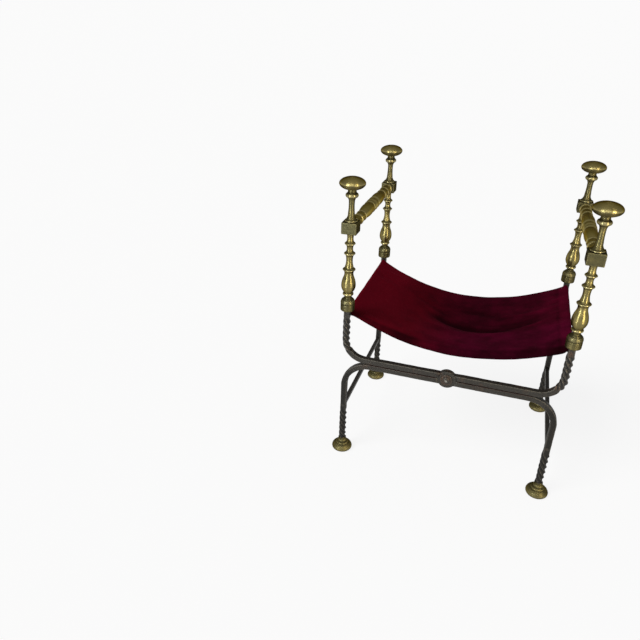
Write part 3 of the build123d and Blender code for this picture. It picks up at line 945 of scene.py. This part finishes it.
def sling():
    seat_x = np.linspace(6 - ROD_X, ROD_X - 6, 150)
    main_y = np.linspace(7 - EDGE_Y, EDGE_Y - 7, 110)
    # rows that turn the front and rear edges under: (inward from the edge, share of the lip)
    turned_under = [(26, 1.0), (14, 1.0), (5, 1.0), (1.2, 0.93), (0.2, 0.75), (0, 0.5), (0.3, 0.25),
                    (1.4, 0.09), (3.6, 0.02)]
    rows = [(inward - EDGE_Y, share) for inward, share in turned_under]
    rows += [(y, 0.0) for y in main_y]
    rows += [(EDGE_Y - inward, share) for inward, share in reversed(turned_under)]
    under_x = np.linspace(-POCKET_UNDER_X[0], -POCKET_UNDER_X[1], 8)
    round_rod = np.linspace(radians(262), radians(68), 22)
    grid = []
    for y, share in rows:
        # under the seat to the stitched line, round the rod, and over to the other side
        under = [(x, y, seat_height(x, y) - POCKET_T) for x in under_x]
        hem = [(HEM_R * cos(a) - ROD_X, y, ROD_Z + HEM_R * sin(a)) for a in round_rod]
        row_y = np.full_like(seat_x, y)
        drop = lip_depth(seat_x) if y < 0 else REAR_LIP
        heights = seat_height(seat_x, row_y) + fold_heights(seat_x, row_y) - drop * share
        mirrored = [(-x, y, z) for x, y, z in reversed(under + hem)]
        grid.append(under + hem + list(zip(seat_x, row_y, heights)) + mirrored)
    grid = np.array(grid)
    # the cloth eases from the hems into the seat
    for _ in range(3):
        for axis in (0, 2):
            grid[:, 1:-1, axis] = (grid[:, :-2, axis] + 2 * grid[:, 1:-1, axis] + grid[:, 2:, axis]) / 4
    across = np.linalg.norm(np.diff(grid, axis=1), axis=2).sum(axis=1).mean()
    along = np.linalg.norm(np.diff(grid, axis=0), axis=2).sum(axis=0).mean()
    row_count, column_count = grid.shape[:2]
    points = grid.reshape(-1, 3)
    for point in points:
        point[2] += noise.noise(Vector(point) * 0.02) * 1.1 + noise.noise(Vector(point) * 0.06) * 0.35
    faces = []
    for row in range(row_count - 1):
        for corner in range(row * column_count, (row + 1) * column_count - 1):
            faces.append((corner, corner + 1, corner + column_count + 1, corner + column_count))
    x, y = points[:, 0], points[:, 1]
    cast = smooth_step((x + 130) / 200) * (0.45 + 0.22 * smooth_step(-y / 70))
    made = piece("velvet_sling", points, faces, [velvet, lining], {"nap_and_painted_light": nap_and_painted_light_at(x, y), "cast": cast})
    thicken = made.modifiers.new("cloth", "SOLIDIFY")
    thicken.thickness = CLOTH_T * MM
    thicken.offset = 0
    thicken.material_offset = 1
    bpy.context.view_layer.objects.active = made
    bpy.ops.object.modifier_apply(modifier=thicken.name)
    return made, (across * MM, along * MM)


cloth, cloth_size = sling()
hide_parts("seat_sling")
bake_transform(cloth)

# ---- stage


def stage_material():
    """White paper. It looks white, also mirrored in metal, and still takes a shadow."""
    s = Shading("paper")
    grain = s.noise(3, 2)
    s.set(Base_Color=s.mix(grain, (0.90, 0.90, 0.90, 1), (0.93, 0.93, 0.93, 1)), Roughness=0.95)
    s.set(Specular_IOR_Level=0.0)
    ray = s.add("ShaderNodeLightPath").outputs
    mirrored = s.math("MAXIMUM", ray["Is Glossy Ray"], ray["Is Transmission Ray"])
    seen = s.math("MAXIMUM", ray["Is Camera Ray"], mirrored)
    white = s.add("ShaderNodeEmission", {"Color": (1, 1, 1, 1), "Strength": 1.0}).outputs[0]
    share = s.math("MULTIPLY", seen, 0.86)  # the rest takes the shadow
    both = s.add("ShaderNodeMixShader", {0: share, 1: s.shader.outputs[0], 2: white})
    s.put(s.tree.nodes["Material Output"].inputs["Surface"], both.outputs[0])
    return s.material


def stage_dish(radius=40.0, flat=5.0, rise=2.6, around=96):
    """A floor that stays flat round the chair and then rises a little, past the horizon."""
    radii = np.concatenate([[0.05, 1, 2, 3.5], np.linspace(flat, radius, 24)])
    turns = [i / around * tau for i in range(around)]
    places = []
    for r in radii:
        z = rise * max(0.0, (r - flat) / (radius - flat)) ** 1.6
        places += [(r * cos(turn) / MM, r * sin(turn) / MM, z / MM) for turn in turns]
    faces = tube_faces(len(radii), around)[:-1]
    return piece("floor", places, faces, [stage_material()])


stage_dish()

world = bpy.data.worlds.new("studio")
bpy.context.scene.world = world
world.use_nodes = True
world.node_tree.nodes["Background"].inputs["Color"].default_value = (0.96, 0.98, 1.0, 1)
world.node_tree.nodes["Background"].inputs["Strength"].default_value = 0.30


def lamp(name, kind, energy, place, target, colour, metal, cloth, **settings):
    """metal is whether metal mirrors it, cloth whether it lights matt surfaces."""
    data = bpy.data.lights.new(name, kind)
    data.energy = energy
    data.color = colour
    for key, value in settings.items():
        setattr(data, key, value)
    made = bpy.data.objects.new(name, data)
    bpy.context.scene.collection.objects.link(made)
    made.location = place
    made.rotation_euler = (Vector(target) - Vector(place)).to_track_quat("-Z", "Y").to_euler()
    made.visible_camera = False
    made.visible_glossy = metal
    made.visible_diffuse = cloth


lamp("key", "SUN", 2.2, (-2.2, -2.4, 3.6), (0, 0, 0.4), (1, 0.985, 0.96), False, True, angle=radians(30))
lamp("window", "AREA", 27, (0.1, -2.9, 2.5), (0.1, 0, 0.75), (1.0, 0.98, 0.90), True, False,
     shape="RECTANGLE", size=2.2, size_y=1.1)
lamp("left_strip", "AREA", 23, (-1.0, -1.85, 0.85), (0, 0, 0.5), (0.94, 0.99, 0.97), True, False,
     shape="RECTANGLE", size=0.24, size_y=1.6)
lamp("right_strip", "AREA", 18, (1.25, -1.25, 0.85), (0, 0, 0.5), (1.0, 0.88, 0.62), True, False,
     shape="RECTANGLE", size=0.24, size_y=1.6)

# ---- camera, at the photograph's place
CAMERA_PLACE = (0.0876, -1.4779, 1.1149)
CAMERA_TURN, CAMERA_TILT, CAMERA_ROLL = 18.77, -27.73, 0.94  # degrees
PHOTO_FOCAL_PX, PHOTO_WIDTH_PX = 574.1, 640

camera_data = bpy.data.cameras.new("camera")
camera_data.sensor_width = 36.0
camera_data.lens = camera_data.sensor_width * PHOTO_FOCAL_PX / PHOTO_WIDTH_PX
camera = bpy.data.objects.new("camera", camera_data)
bpy.context.scene.collection.objects.link(camera)
camera.matrix_world = (
    Matrix.Translation(CAMERA_PLACE)
    @ Matrix.Rotation(radians(CAMERA_TURN), 4, "Z")
    @ Matrix.Rotation(radians(90 + CAMERA_TILT), 4, "X")
    @ Matrix.Rotation(radians(CAMERA_ROLL), 4, "Z")
)
bpy.context.scene.camera = camera
bpy.context.scene.view_settings.view_transform = "Standard"
